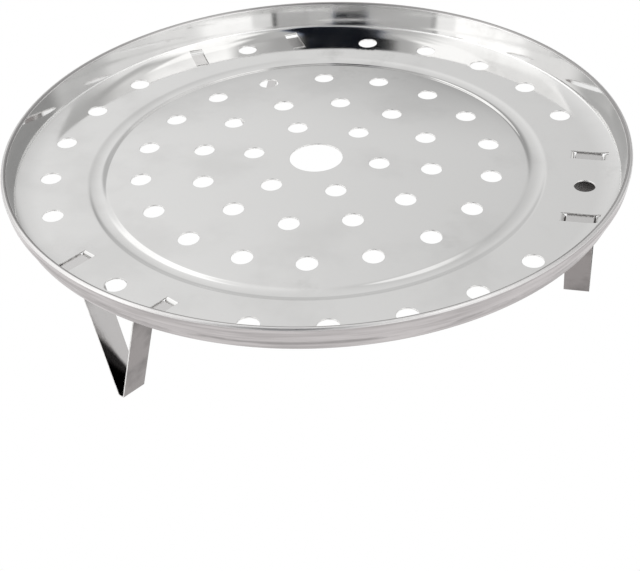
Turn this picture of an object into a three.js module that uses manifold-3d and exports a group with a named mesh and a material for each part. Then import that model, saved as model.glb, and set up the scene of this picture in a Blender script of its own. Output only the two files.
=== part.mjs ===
// Steamer rack of polished stainless steel: a round perforated tray on three clip-in V legs.
// Millimetres, +Z up. The floor is z = 0, the tray's axis is the Z axis, and one leg stands towards +X.
import * as THREE from "three";
import { mergeVertices } from "three/addons/utils/BufferGeometryUtils.js";
import Module from "manifold-3d";

// Heights
const FLOOR_HEIGHT = 48; // from the table to the top of the tray's flat floor
const RIM_HEIGHT = 12; // from the flat floor to the top of the rim

// Tray, pressed from one sheet
const SHEET = 0.5;
const TRAY_RADIUS = 120; // over the hem
const RIM_LEAN = 9; // degrees that the wall leans out
const RIM_BEND = 0.8; // inside radius of the crease at the wall's foot
const EDGE_BEND = 24; // inside radius of the floor's upturned edge
const EDGE_TURN = 20; // degrees that the edge turns up before the crease
const HEM_GAP = 1.2; // space inside the folded edge
const HEM_DEPTH = 3.5; // straight part of the folded edge
const GROOVE_RADIUS = 85; // middle of the stiffening groove
const GROOVE_WIDTH = 7;
const GROOVE_DEPTH = 0.75;
const CROWN = 2.85; // rise of the disc inside the groove

// Perforations
const CENTRE_HOLE = 20.6;
const STEAM_HOLE = 8;
const HOLE_EDGE = 2; // least metal between a hole and a bend of the sheet
const HOLE_PITCH_ANGLE = 15; // degrees between places on the outer ring
// Rings of the disc, each at a share of the disc's radius
const DISC_RINGS = [
  { share: 0.3055, holes: 6 },
  { share: 0.5546, holes: 12 },
  { share: 0.8356, holes: 18 },
];

// Legs, each bent from one strip
const LEG_NAMES = ["right_leg", "rear_left_leg", "front_left_leg"];
const STRIP_WIDTH = 10;
const STRIP = 0.6; // thickness
const FOOT_FLAT = 1.2; // level part at the tip of the V
const FOOT_BEND = 0.9; // radii to the middle of the strip
const KNEE_BEND = 1.2;
const KNEE_GAP = 3.7; // from the corner of the knee to the strap
const FLANGE_REACH = 3; // of the flange beyond the strap
const FLANGE_ROUND = 2; // corners of the flange

// Straps, lanced out of the floor and pressed down to hold the flanges
const STRAP_WIDTH = 5.4;
const STRAP_SPACING = 44; // between the middles of a pair
const STRAP_MARGIN = 5.9; // from a strap to the crease at the wall's foot
const STRAP_RUN = 1.2; // length of each sloping end
const LANCE = 0.12; // width of the cut along a strap
const LAP = 0.4; // length over which a strap runs into the floor

// Clearances of the flange in its strap
const FLANGE_PLAY = 0.25; // above and below
const SIDE_PLAY = 0.3; // at each edge of the strip

// Facets
const TURN_STEPS = 72; // round the tray
const HOLE_STEPS = 16; // round a steam hole
const ARC_DIVISIONS = 2; // half the facets of an arc of the sheet
const BEND_STEPS = 4; // round a bend of the strip
const SAME_POINT = 1e-6; // points closer than this are one

// Sizes that follow from those above
const FLOOR_MIDDLE = FLOOR_HEIGHT - SHEET / 2;
const FLANGE_MIDDLE = FLOOR_HEIGHT - SHEET - FLANGE_PLAY - STRIP / 2;
const STRAP_DROP = SHEET + 2 * FLANGE_PLAY + STRIP;
const STRAP_LENGTH = STRIP_WIDTH + 2 * SIDE_PLAY + 2 * STRAP_RUN;
const DISC_RADIUS = GROOVE_RADIUS - GROOVE_WIDTH / 2;
const RIM = rimPoints();
const LEG_RADIUS = RIM.bend.x - STRAP_MARGIN - STRAP_LENGTH / 2;
const LEG_ANGLES = LEG_NAMES.map((_, i) => (i * 2 * Math.PI) / LEG_NAMES.length);

const wasm = await Module();
wasm.setup();

// Closed solid of a three.js geometry.
function solidOf(geometry) {
  const bare = new THREE.BufferGeometry();
  bare.setAttribute("position", geometry.getAttribute("position"));
  bare.setIndex(geometry.index);
  const merged = mergeVertices(bare, 1e-4);
  const mesh = new wasm.Mesh({
    numProp: 3,
    vertProperties: new Float32Array(merged.getAttribute("position").array),
    triVerts: new Uint32Array(merged.index.array),
  });
  return new wasm.Manifold(mesh);
}

// Flat-shaded three.js geometry of a solid.
function geometryOf(solid) {
  const { numProp, vertProperties, triVerts } = solid.getMesh();
  const positions = new Float32Array(triVerts.length * 3);
  triVerts.forEach((vertex, i) => {
    positions.set(vertProperties.subarray(vertex * numProp, vertex * numProp + 3), i * 3);
  });
  const geometry = new THREE.BufferGeometry();
  geometry.setAttribute("position", new THREE.BufferAttribute(positions, 3));
  geometry.computeVertexNormals();
  return geometry;
}

// Outline of a sheet laid half its thickness to each side of a chain of points.
function sheetOutline(points, thickness) {
  const chain = points.filter((point, i) => i === 0 || point.distanceTo(points[i - 1]) > SAME_POINT);
  const normals = chain.slice(1).map((point, i) => {
    const along = point.clone().sub(chain[i]).normalize();
    return new THREE.Vector2(-along.y, along.x);
  });
  const side = (offset) =>
    chain.map((point, i) => {
      const before = normals[Math.max(i - 1, 0)];
      const after = normals[Math.min(i, normals.length - 1)];
      const mitre = before.clone().add(after).normalize();
      return point.clone().addScaledVector(mitre, offset / mitre.dot(before));
    });
  return [...side(-thickness / 2), ...side(thickness / 2).reverse()];
}

// Corner of a bent strip as an arc: its points run from the one straight side to the other.
function roundedCorner(before, corner, after, radius) {
  const back = before.clone().sub(corner).normalize();
  const forth = after.clone().sub(corner).normalize();
  const half = Math.acos(back.dot(forth)) / 2;
  const inwards = back.clone().add(forth).normalize();
  const centre = corner.clone().addScaledVector(inwards, radius / Math.sin(half));
  const start = corner.clone().addScaledVector(back, radius / Math.tan(half));
  const turn = Math.sign(forth.cross(back)) * (Math.PI - 2 * half);
  return Array.from({ length: BEND_STEPS + 1 }, (_, i) =>
    start.clone().rotateAround(centre, (turn * i) / BEND_STEPS),
  );
}

// Geometry of an outline in the plane of a leg, swept across the leg: its x runs along Y and its y along Z.
function sweptAcross(outline, width) {
  const geometry = new THREE.ExtrudeGeometry(new THREE.Shape(outline), {
    depth: width,
    bevelEnabled: false,
  });
  geometry.translate(0, 0, -width / 2);
  return geometry.rotateX(Math.PI / 2).rotateZ(Math.PI / 2);
}

// Geometry of an outline in the plane of the leg's line, swept sideways: its x runs along X and its y along Z.
function sweptSideways(outline, width) {
  const geometry = new THREE.ExtrudeGeometry(new THREE.Shape(outline), {
    depth: width,
    bevelEnabled: false,
  });
  geometry.translate(0, 0, -width / 2);
  return geometry.rotateX(Math.PI / 2);
}

// Middle of the sheet at the rim: the hem's fold, the crease at the wall's foot and the floor's upturned edge.
function rimPoints() {
  const lean = THREE.MathUtils.degToRad(RIM_LEAN);
  const turn = THREE.MathUtils.degToRad(EDGE_TURN);
  const foldRadius = (HEM_GAP + SHEET) / 2;
  const bendRadius = RIM_BEND + SHEET / 2;
  const edgeRadius = EDGE_BEND + SHEET / 2;
  const fold = new THREE.Vector2(
    TRAY_RADIUS - SHEET / 2 - foldRadius,
    FLOOR_HEIGHT + RIM_HEIGHT - SHEET / 2 - foldRadius,
  );
  const wallTop = new THREE.Vector2(-Math.cos(lean), Math.sin(lean))
    .multiplyScalar(foldRadius)
    .add(fold);
  const inwards = edgeRadius - bendRadius;
  const bendHeight = FLOOR_MIDDLE + edgeRadius - inwards * Math.cos(turn);
  const wallFoot = bendHeight - bendRadius * Math.sin(lean);
  const wallFootRadius = wallTop.x - (wallTop.y - wallFoot) * Math.tan(lean);
  const bend = new THREE.Vector2(wallFootRadius - bendRadius * Math.cos(lean), bendHeight);
  const edge = new THREE.Vector2(bend.x - inwards * Math.sin(turn), FLOOR_MIDDLE + edgeRadius);
  return { lean, turn, fold, foldRadius, bend, bendRadius, edge, edgeRadius };
}

// Section through the tray's sheet, from the centre hole out to the end of the hem.
function traySection() {
  const { lean, turn, fold, foldRadius, bend, bendRadius, edge, edgeRadius } = RIM;
  const crownRadius = (DISC_RADIUS ** 2 + CROWN ** 2) / (2 * CROWN);
  const crownCentre = FLOOR_MIDDLE + CROWN - crownRadius;
  const fromUpright = (radius) => Math.PI / 2 - Math.asin(radius / crownRadius);
  const halfGroove = GROOVE_WIDTH / 2;
  const grooveRadius = (halfGroove ** 2 + GROOVE_DEPTH ** 2) / (2 * GROOVE_DEPTH);
  const grooveCentre = FLOOR_MIDDLE - GROOVE_DEPTH + grooveRadius;
  const grooveTurn = Math.asin(halfGroove / grooveRadius);
  const down = -Math.PI / 2;
  const section = new THREE.Path();
  section.absarc(0, crownCentre, crownRadius, fromUpright(CENTRE_HOLE / 2), fromUpright(DISC_RADIUS), true);
  section.absarc(GROOVE_RADIUS, grooveCentre, grooveRadius, down - grooveTurn, down + grooveTurn, false);
  section.absarc(edge.x, edge.y, edgeRadius, down, down + turn, false);
  section.absarc(bend.x, bend.y, bendRadius, down + turn, -lean, false);
  section.absarc(fold.x, fold.y, foldRadius, Math.PI - lean, -lean, true);
  const hem = new THREE.Vector2(-Math.sin(lean), -Math.cos(lean)).multiplyScalar(HEM_DEPTH);
  section.lineTo(section.currentPoint.x + hem.x, section.currentPoint.y + hem.y);
  return sheetOutline(section.getPoints(ARC_DIVISIONS), SHEET);
}

// Upright cutter of a steam hole at a radius and an angle about the tray's axis.
function steamHole(radius, angle) {
  const cutter = new THREE.CylinderGeometry(STEAM_HOLE / 2, STEAM_HOLE / 2, FLOOR_HEIGHT, HOLE_STEPS);
  cutter.rotateX(Math.PI / 2);
  cutter.translate(radius, 0, FLOOR_HEIGHT);
  return solidOf(cutter.rotateZ(angle));
}

// Holes of the disc: rings that have one hole on each leg's line, where the ring fits inside the groove.
function discHoles() {
  const fits = ({ share }) => share * DISC_RADIUS + STEAM_HOLE / 2 + HOLE_EDGE < DISC_RADIUS;
  return DISC_RINGS.filter(fits).flatMap(({ share, holes }) =>
    Array.from({ length: holes }, (_, i) => steamHole(share * DISC_RADIUS, (i * 2 * Math.PI) / holes)),
  );
}

// Holes of the floor: one ring in line with the straps, which take the places beside each leg's line.
function floorHoles() {
  const places = 360 / HOLE_PITCH_ANGLE;
  const strapSide = (STRAP_SPACING + STRAP_WIDTH) / 2 + HOLE_EDGE + STEAM_HOLE / 2;
  const strapMiddle = (STRAP_SPACING - STRAP_WIDTH) / 2 - HOLE_EDGE - STEAM_HOLE / 2;
  const clear = (angle) =>
    LEG_ANGLES.every((legAngle) => {
      const sideways = Math.abs(LEG_RADIUS * Math.sin(angle - legAngle));
      const near = Math.cos(angle - legAngle) > 0;
      return !near || sideways < strapMiddle || sideways > strapSide;
    });
  return Array.from({ length: places }, (_, i) => THREE.MathUtils.degToRad(i * HOLE_PITCH_ANGLE))
    .filter(clear)
    .map((angle) => steamHole(LEG_RADIUS, angle));
}

// Middles of the two straps of each leg, as a matrix each.
function strapPlaces() {
  return LEG_ANGLES.flatMap((angle) =>
    [-1, 1].map((side) => {
      const shift = new THREE.Matrix4().makeTranslation(LEG_RADIUS, (side * STRAP_SPACING) / 2, 0);
      return shift.premultiply(new THREE.Matrix4().makeRotationZ(angle));
    }),
  );
}

// Window that is left in the floor where a strap is pressed down.
function strapWindow() {
  const window = new THREE.BoxGeometry(STRAP_LENGTH, STRAP_WIDTH + 2 * LANCE, 4 * SHEET);
  return window.translate(0, 0, FLOOR_MIDDLE);
}

// Strap: a level run under the flange, with a sloping end up to the floor on each side.
function strap() {
  const end = STRAP_LENGTH / 2;
  const low = FLOOR_MIDDLE - STRAP_DROP;
  const half = [
    [end - STRAP_RUN, low],
    [end, FLOOR_MIDDLE],
    [end + LAP, FLOOR_MIDDLE],
  ].map(([x, y]) => new THREE.Vector2(x, y));
  const mirrored = half.map(({ x, y }) => new THREE.Vector2(-x, y)).reverse();
  return sweptSideways(sheetOutline([...mirrored, ...half], SHEET), STRAP_WIDTH);
}

// Tray: the turned sheet, pierced, with its straps.
function tray() {
  const turned = new THREE.LatheGeometry(closed(traySection()), TURN_STEPS).rotateX(Math.PI / 2);
  const windows = strapPlaces().map((place) => solidOf(strapWindow().applyMatrix4(place)));
  const straps = strapPlaces().map((place) => solidOf(strap().applyMatrix4(place)));
  const cutters = [...discHoles(), ...floorHoles(), ...windows];
  const pierced = cutters.reduce((sheet, cutter) => sheet.subtract(cutter), solidOf(turned));
  return geometryOf(straps.reduce((sheet, piece) => sheet.add(piece), pierced));
}

// Outline whose last point is its first again.
function closed(outline) {
  return [...outline, outline[0].clone()];
}

// Leg: a V of strip with a level foot, whose ends turn out into flanges over the straps.
function leg() {
  const knee = (STRAP_SPACING - STRAP_WIDTH) / 2 - KNEE_GAP;
  const tip = (STRAP_SPACING + STRAP_WIDTH) / 2 + FLANGE_REACH;
  const sole = STRIP / 2;
  const lean = Math.atan2(knee - FOOT_FLAT / 2, FLANGE_MIDDLE - sole);
  const ankle = FOOT_FLAT / 2 + FOOT_BEND * Math.tan((Math.PI / 2 - lean) / 2);
  const at = (x, y) => new THREE.Vector2(x, y);
  const corners = [at(0, sole), at(ankle, sole), at(knee, FLANGE_MIDDLE), at(tip, FLANGE_MIDDLE)];
  const half = [
    ...roundedCorner(corners[0], corners[1], corners[2], FOOT_BEND),
    ...roundedCorner(corners[1], corners[2], corners[3], KNEE_BEND),
    corners[3],
  ];
  const mirrored = half.map(({ x, y }) => at(-x, y)).reverse();
  const strip = solidOf(sweptAcross(sheetOutline([...mirrored, ...half], STRIP), STRIP_WIDTH));
  return geometryOf(strip.intersect(legPlan(tip)));
}

// Plan of a leg's strip as an upright block, with the corners of both flanges rounded off.
function legPlan(tip) {
  const x = STRIP_WIDTH / 2;
  const plan = new THREE.Shape();
  plan.absarc(x - FLANGE_ROUND, tip - FLANGE_ROUND, FLANGE_ROUND, 0, Math.PI / 2, false);
  plan.absarc(FLANGE_ROUND - x, tip - FLANGE_ROUND, FLANGE_ROUND, Math.PI / 2, Math.PI, false);
  plan.absarc(FLANGE_ROUND - x, FLANGE_ROUND - tip, FLANGE_ROUND, Math.PI, 1.5 * Math.PI, false);
  plan.absarc(x - FLANGE_ROUND, FLANGE_ROUND - tip, FLANGE_ROUND, 1.5 * Math.PI, 2 * Math.PI, false);
  const block = new THREE.ExtrudeGeometry(plan, {
    depth: FLOOR_HEIGHT + 2 * STRIP,
    bevelEnabled: false,
    curveSegments: BEND_STEPS,
  });
  return solidOf(block.translate(0, 0, -STRIP));
}

// Polished stainless steel, a shade darker on the legs.
function steel(color, roughness) {
  return new THREE.MeshStandardMaterial({ color, metalness: 1, roughness });
}

const rack = new THREE.Group();

const trayMesh = new THREE.Mesh(tray(), steel(0xd6d5d3, 0.12));
trayMesh.name = "tray";
rack.add(trayMesh);

LEG_NAMES.forEach((name, i) => {
  const place = new THREE.Group();
  place.rotation.z = LEG_ANGLES[i];
  const mesh = new THREE.Mesh(leg(), steel(0xb9b7b5, 0.16));
  mesh.name = name;
  mesh.position.x = LEG_RADIUS;
  place.add(mesh);
  rack.add(place);
});

export default rack;
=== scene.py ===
"""Looks of a steamer rack: a mirror-polished perforated tray on three clip-in legs of spring strip.

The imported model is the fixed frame. The tray and the legs are made again as fine smooth sheets in the places
of their nodes, with steel finishes, a pale floor, soft studio light and a camera at the photograph's angle.
Sizes are in millimetres and become metres when a mesh is made.
"""

import logging
import math
from collections.abc import Iterable, Mapping, Sequence
from dataclasses import dataclass, field
from enum import Enum
from typing import Any, Optional, Union

import bpy
import numpy as np
from mathutils import Matrix, Vector


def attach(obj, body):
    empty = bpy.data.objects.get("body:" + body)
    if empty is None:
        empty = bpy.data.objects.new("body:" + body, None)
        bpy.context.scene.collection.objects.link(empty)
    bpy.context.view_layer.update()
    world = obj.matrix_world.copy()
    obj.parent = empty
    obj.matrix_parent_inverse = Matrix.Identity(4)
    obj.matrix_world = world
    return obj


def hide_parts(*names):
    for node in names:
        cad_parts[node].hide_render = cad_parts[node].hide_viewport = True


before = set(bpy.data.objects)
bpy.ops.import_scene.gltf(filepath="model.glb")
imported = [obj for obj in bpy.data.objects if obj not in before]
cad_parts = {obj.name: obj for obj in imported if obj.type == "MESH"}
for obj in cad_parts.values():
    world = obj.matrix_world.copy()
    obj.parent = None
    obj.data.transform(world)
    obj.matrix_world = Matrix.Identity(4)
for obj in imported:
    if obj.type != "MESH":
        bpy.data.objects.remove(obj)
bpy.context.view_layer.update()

MM = 0.001
MERGE = 0.001 * MM
SOFT_EDGE = 40.0
STRIP_PLACE = "strip_place"
STRIP_SIDE = "strip_side"
LOG = logging.getLogger("steamer_rack")

Colour = tuple[float, float, float]
Operand = Union["Term", float, int]


class Term:
    """Output socket that takes part in Python sums."""

    def __init__(self, graph: "Graph", socket: bpy.types.NodeSocket) -> None:
        """Keeps the socket and the graph that its sums go into."""
        self.graph = graph
        self.socket = socket

    def __add__(self, other: Operand) -> "Term":
        """Sum."""
        return self.graph.maths("ADD", self, other)

    __radd__ = __add__

    def __sub__(self, other: Operand) -> "Term":
        """Difference."""
        return self.graph.maths("SUBTRACT", self, other)

    def __rsub__(self, other: Operand) -> "Term":
        """Difference from a number."""
        return self.graph.maths("SUBTRACT", other, self)

    def __mul__(self, other: Operand) -> "Term":
        """Product."""
        return self.graph.maths("MULTIPLY", self, other)

    __rmul__ = __mul__

    def __truediv__(self, other: Operand) -> "Term":
        """Quotient."""
        return self.graph.maths("DIVIDE", self, other)

    def __mod__(self, other: Operand) -> "Term":
        """Remainder."""
        return self.graph.maths("MODULO", self, other)

    def __lt__(self, other: Operand) -> "Term":
        """1 where this is less, and 0 elsewhere."""
        return self.graph.maths("LESS_THAN", self, other)

    def __gt__(self, other: Operand) -> "Term":
        """1 where this is greater, and 0 elsewhere."""
        return self.graph.maths("GREATER_THAN", self, other)

    def __abs__(self) -> "Term":
        """Size without its sign."""
        return self.graph.maths("ABSOLUTE", self)

    def __floor__(self) -> "Term":
        """Whole number below."""
        return self.graph.maths("FLOOR", self)


class Graph:
    """Node tree that is filled from Python."""

    def __init__(self, tree: bpy.types.NodeTree) -> None:
        """Starts from a tree, whose nodes are cleared."""
        self.tree = tree
        self.tree.nodes.clear()

    def node(
        self,
        kind: str,
        settings: Optional[Mapping[str, Any]] = None,
        sockets: Optional[Mapping[Union[str, int], Any]] = None,
    ) -> bpy.types.Node:
        """Adds any node.

        Args:
            kind: Type of the node.
            settings: Its own properties, set before its sockets.
            sockets: Value, Term or list of Terms for each input, by name or by index.

        Returns:
            The node.
        """
        made = self.tree.nodes.new(kind)
        for name, value in (settings or {}).items():
            setattr(made, name, value)
        for key, value in (sockets or {}).items():
            self._feed(self._input(made, key), value)
        return made

    @staticmethod
    def _input(node: bpy.types.Node, key: Union[str, int]) -> bpy.types.NodeSocket:
        """Input of a node by its name among the enabled ones, or by its index."""
        if isinstance(key, int):
            return node.inputs[key]
        return next(socket for socket in node.inputs if socket.name == key and socket.enabled)

    def _feed(self, socket: bpy.types.NodeSocket, value: Any) -> None:
        """Links a Term or several to an input, or sets its value."""
        terms = value if isinstance(value, list) else [value]
        if all(isinstance(term, Term) for term in terms):
            for term in terms:
                self.tree.links.new(term.socket, socket)
        else:
            socket.default_value = value

    def out(self, node: bpy.types.Node, name: Union[str, int] = 0) -> Term:
        """Output of a node as a Term, by name or by index."""
        return Term(self, node.outputs[name])

    def make(
        self,
        kind: str,
        sockets: Optional[Mapping[Union[str, int], Any]] = None,
        output: Union[str, int] = 0,
        **settings: Any,
    ) -> Term:
        """Adds a node and gives one of its outputs.

        Args:
            kind: Type of the node.
            sockets: Values or Terms of its inputs.
            output: Name or index of the output.
            **settings: Its own properties.

        Returns:
            The output.
        """
        return self.out(self.node(kind, settings, sockets), output)

    def maths(self, operation: str, *operands: Operand) -> Term:
        """Sum of values as a Math node.

        Args:
            operation: The node's operation.
            *operands: Terms or numbers.

        Returns:
            The result.
        """
        return self.make("ShaderNodeMath", dict(enumerate(operands)), operation=operation)

    def smooth(self, value: Operand, low: float, high: float, start: float = 0.0, end: float = 1.0) -> Term:
        """Eased step of a value.

        Args:
            value: What is mapped.
            low: Value that gives start.
            high: Value that gives end.
            start: Result up to low.
            end: Result from high.

        Returns:
            The result.
        """
        sockets = {0: value, 1: low, 2: high, 3: start, 4: end}
        return self.make("ShaderNodeMapRange", sockets, interpolation_type="SMOOTHSTEP")

    def band(self, value: Term, low: float, high: float, soft: float) -> Term:
        """1 between two values and 0 outside them.

        Args:
            value: What is tested.
            low: Lower value.
            high: Upper value.
            soft: Half the width of each eased step.

        Returns:
            The result.
        """
        return self.smooth(value, low - soft, low + soft) * self.smooth(value, high + soft, high - soft)

    def vector(self, x: Operand, y: Operand, z: Operand) -> Term:
        """Vector of three values."""
        return self.make("ShaderNodeCombineXYZ", {"X": x, "Y": y, "Z": z})

    def polar(self, radius: Operand, angle: Term, height: Operand) -> Term:
        """Vector at a radius and an angle about the upright axis."""
        return self.vector(radius * self.maths("COSINE", angle), radius * self.maths("SINE", angle), height)

    def parts(self, vector: Term) -> tuple[Term, Term, Term]:
        """Three values of a vector."""
        split = self.node("ShaderNodeSeparateXYZ", None, {"Vector": vector})
        return self.out(split, "X"), self.out(split, "Y"), self.out(split, "Z")

    def mixed(self, factor: Term, first: Any, second: Any) -> Term:
        """Colour between two.

        Args:
            factor: 0 for the first and 1 for the second.
            first: Colour or Term.
            second: Colour or Term.

        Returns:
            The colour.
        """
        made = self.node("ShaderNodeMix", {"data_type": "RGBA"}, {0: factor})
        for name, value in (("A", first), ("B", second)):
            self._feed(self._input(made, name), value if isinstance(value, Term) else (*value, 1.0))
        return Term(self, next(s for s in made.outputs if s.name == "Result" and s.enabled))


class ShapeTree(Graph):
    """Geometry Nodes tree with named inputs for its sizes."""

    def __init__(self, name: str) -> None:
        """Makes an empty tree with a geometry input and output."""
        super().__init__(bpy.data.node_groups.new(name, "GeometryNodeTree"))
        self.values: dict[str, Any] = {}
        self._face("Geometry", "INPUT", "NodeSocketGeometry")
        self._face("Geometry", "OUTPUT", "NodeSocketGeometry")
        self.entry = self.node("NodeGroupInput")

    def _face(self, name: str, side: str, kind: str) -> bpy.types.NodeTreeInterfaceSocket:
        """Adds a socket to the tree's own interface."""
        return self.tree.interface.new_socket(name, in_out=side, socket_type=kind)

    def _ask(self, name: str, kind: str, value: Any) -> Term:
        """Adds an input of the tree and keeps the value that its modifier gets."""
        socket = self._face(name, "INPUT", kind)
        self.values[socket.identifier] = value
        return next(Term(self, out) for out in self.entry.outputs if out.identifier == socket.identifier)

    @property
    def geometry(self) -> Term:
        """Geometry of the object that the tree works on."""
        return self.out(self.entry, "Geometry")

    def length(self, name: str, millimetres: float) -> Term:
        """Named length."""
        return self._ask(name, "NodeSocketFloat", millimetres * MM)

    def number(self, name: str, value: float) -> Term:
        """Named plain number or angle in radians."""
        return self._ask(name, "NodeSocketFloat", value)

    def count(self, name: str, value: int) -> Term:
        """Named whole number."""
        return self._ask(name, "NodeSocketInt", value)

    def material(self, name: str, value: bpy.types.Material) -> Term:
        """Named material."""
        return self._ask(name, "NodeSocketMaterial", value)

    def row(self, index: Term, values: Sequence[Operand]) -> Term:
        """Value picked from a list by an index.

        Args:
            index: Place in the list.
            values: The list.

        Returns:
            The picked value.
        """
        switch = self.node("GeometryNodeIndexSwitch", {"data_type": "FLOAT"})
        while len(switch.index_switch_items) < len(values):
            switch.index_switch_items.new()
        self._feed(self._input(switch, "Index"), index)
        for place, value in enumerate(values):
            self._feed(self._input(switch, str(place)), value)
        return self.out(switch)

    def dress(self, geometry: Term, finishes: Iterable[tuple[str, bpy.types.Material, Any]]) -> Term:
        """Sets materials on chosen faces.

        Args:
            geometry: What is dressed.
            finishes: Name of the input, material and choice of faces of each, later ones over earlier ones.

        Returns:
            The dressed geometry.
        """
        for name, material, chosen in finishes:
            sockets = {"Geometry": geometry, "Selection": chosen, "Material": self.material(name, material)}
            geometry = self.make("GeometryNodeSetMaterial", sockets)
        return geometry

    def end(self, geometry: Term) -> None:
        """Links the finished geometry to the tree's output."""
        self.node("NodeGroupOutput", None, {"Geometry": geometry})

    def run(self, obj: bpy.types.Object) -> bpy.types.Mesh:
        """Runs the tree on an object and leaves the object without the modifier.

        Args:
            obj: Object whose mesh the tree starts from.

        Returns:
            The result as a plain mesh.
        """
        modifier = obj.modifiers.new(self.tree.name, "NODES")
        modifier.node_group = self.tree
        for identifier, value in self.values.items():
            modifier[identifier] = value
        obj.update_tag()
        depsgraph = bpy.context.evaluated_depsgraph_get()
        mesh = bpy.data.meshes.new_from_object(obj.evaluated_get(depsgraph), depsgraph=depsgraph)
        obj.modifiers.remove(modifier)
        return mesh


class ShaderTree(Graph):
    """Shader tree of one material."""

    def __init__(self, name: str) -> None:
        """Makes a material with an empty tree."""
        self.material = bpy.data.materials.new(name)
        self.material.use_nodes = True
        super().__init__(self.material.node_tree)

    def place(self, scale: tuple[float, float, float] = (1.0, 1.0, 1.0), turn: float = 0.0) -> Term:
        """Object coordinates, stretched and turned about the upright axis.

        Args:
            scale: Stretch along each axis.
            turn: Degrees.

        Returns:
            The coordinates.
        """
        spot = self.make("ShaderNodeTexCoord", output="Object")
        return self.mapped(spot, scale, turn)

    def mapped(self, spot: Term, scale: tuple[float, float, float], turn: float = 0.0) -> Term:
        """Coordinates, stretched and turned about the upright axis."""
        sockets = {"Vector": spot, "Rotation": (0.0, 0.0, math.radians(turn)), "Scale": scale}
        return self.make("ShaderNodeMapping", sockets)

    def attribute(self, name: str) -> Term:
        """Vector kept on the piece itself."""
        return self.make("ShaderNodeAttribute", output="Vector", attribute_name=name)

    def noise(self, spot: Term, scale: float, detail: float = 2.0, rough: float = 0.5) -> Term:
        """Noise at coordinates.

        Args:
            spot: Coordinates in metres.
            scale: Waves in a metre.
            detail: Octaves.
            rough: Share of each octave in the next.

        Returns:
            Value about 0.5.
        """
        sockets = {"Vector": spot, "Scale": scale, "Detail": detail, "Roughness": rough}
        return self.make("ShaderNodeTexNoise", sockets)

    def bump(self, height: Term, depth: float, finer: Optional[Term] = None) -> Term:
        """Normal of a relief.

        Args:
            height: Relief from 0 to 1.
            depth: Millimetres that 1 stands for.
            finer: Normal of a finer relief that lies on it.

        Returns:
            The normal.
        """
        sockets = {"Height": height, "Distance": depth * MM, "Strength": 1.0}
        if finer is not None:
            sockets["Normal"] = finer
        return self.make("ShaderNodeBump", sockets)

    def steel(self, colour: Any, roughness: Any, normal: Term) -> bpy.types.Material:
        """Ends the tree in a bare metal surface.

        Args:
            colour: Base colour.
            roughness: Roughness.
            normal: Normal of its relief.

        Returns:
            The material.
        """
        surface = self.make(
            "ShaderNodeBsdfPrincipled",
            {"Base Color": colour, "Roughness": roughness, "Metallic": 1.0, "Normal": normal},
        )
        self.node("ShaderNodeOutputMaterial", None, {"Surface": surface})
        return self.material


@dataclass(frozen=True)
class PolishedSheet:
    """Mirror-polished stainless sheet with soft smudges and a slight wave from pressing."""

    name: str = "polished_sheet"
    clear: Colour = (0.797, 0.795, 0.790)
    smudged: Colour = (0.745, 0.742, 0.737)
    wisped: Colour = (0.650, 0.645, 0.638)
    smudge_scale: float = 26.0
    gloss: float = 0.055
    film: float = 0.13
    wave_depth: float = 0.055
    grain_depth: float = 0.0006

    def material(self) -> bpy.types.Material:
        """Builds the material."""
        tree = ShaderTree(self.name)
        spot = tree.place()
        cloud = tree.noise(spot, self.smudge_scale, 4.0, 0.55)
        smudge = tree.smooth(cloud, 0.46, 0.68)
        grain = tree.noise(tree.place((60.0, 1400.0, 1400.0)), 1.0, 3.0, 0.6)
        wave = tree.noise(spot, 17.0, 1.0, 0.4)
        wiped = tree.smooth(grain, 0.35, 0.75)
        wisp = tree.smooth(tree.noise(spot, 15.0, 6.0, 0.68), 0.60, 0.76)
        colour = tree.mixed(wisp, tree.mixed(smudge, self.clear, self.smudged), self.wisped)
        roughness = self.gloss + smudge * self.film * 0.5 + wiped * 0.03
        fine = tree.bump(grain, self.grain_depth)
        return tree.steel(colour, roughness, tree.bump(wave, self.wave_depth, fine))


@dataclass(frozen=True)
class SpunWall:
    """Outside of the wall and its hem: duller, rubbed along the turn, with patches of painted shadow just
    below the hem's edge.
    """

    name: str = "spun_wall"
    clear: Colour = (0.555, 0.528, 0.527)
    rubbed: Colour = (0.425, 0.403, 0.402)
    # Painted shadow: darker colour for patches of a band just below the hem's lower edge.
    grime: Colour = (0.310, 0.294, 0.292)
    grime_height: float = 52.9
    grime_half: float = 0.6
    grime_soft: float = 0.7
    gloss: float = 0.30
    rub_depth: float = 0.004

    def material(self) -> bpy.types.Material:
        """Builds the material."""
        tree = ShaderTree(self.name)
        spot = tree.place()
        _, _, height = tree.parts(spot)
        rings = tree.noise(tree.place((26.0, 26.0, 620.0)), 1.0, 4.0, 0.6)
        cloud = tree.noise(tree.place((30.0, 30.0, 120.0)), 1.0, 3.0, 0.55)
        rub = tree.smooth(rings, 0.36, 0.66)
        patch = tree.noise(tree.place((34.0, 34.0, 260.0)), 1.0, 5.0, 0.68)
        low, high = self.grime_height - self.grime_half, self.grime_height + self.grime_half
        # Painted shadow: the band just below the hem's lower edge, where the hem casts its shade, broken into
        # patches.
        under = tree.band(height / MM + cloud * 1.8, low, high, self.grime_soft)
        colour = tree.mixed(rub, self.clear, self.rubbed)
        colour = tree.mixed(under * tree.smooth(patch, 0.42, 0.62), colour, self.grime)
        return tree.steel(colour, self.gloss + rub * 0.14, tree.bump(rings, self.rub_depth))


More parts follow.
